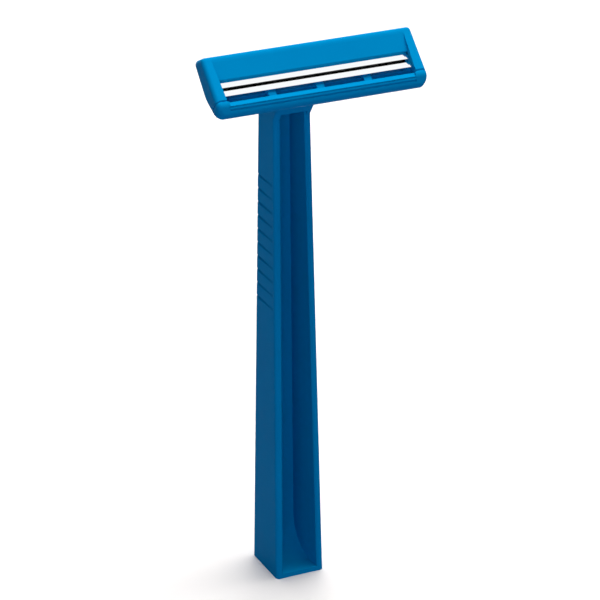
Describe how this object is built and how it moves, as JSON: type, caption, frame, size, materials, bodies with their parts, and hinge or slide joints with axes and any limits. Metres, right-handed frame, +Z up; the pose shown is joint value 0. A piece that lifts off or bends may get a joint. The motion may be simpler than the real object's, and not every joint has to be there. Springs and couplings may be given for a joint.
{
  "type": "disposable razor",
  "caption": "Manual disposable razor with an angled fixed head, stacked blades under a sunken cap, a ridged guard, a tapered grip with an open channel and finger grooves.",
  "frame": {"origin": "centre of the flat foot of the grip, on the surface the razor stands on", "axes": "+Z up along the grip, +X along the cutting edges, -Y the side the blades face"},
  "size_m": [0.0418, 0.0223, 0.1113],
  "materials": {
    "handle_plastic": "moulded blue plastic, soft gloss",
    "cap_plastic": "moulded blue plastic, soft gloss",
    "blade_steel": "polished and honed stainless steel",
    "spacer_aluminium": "rolled aluminium strip"
  },
  "bodies": {
    "root": {"handle": "handle_plastic", "cap": "cap_plastic", "upper_blade": "blade_steel", "blade_spacer": "spacer_aluminium", "lower_blade": "blade_steel"}
  },
  "joints": []
}
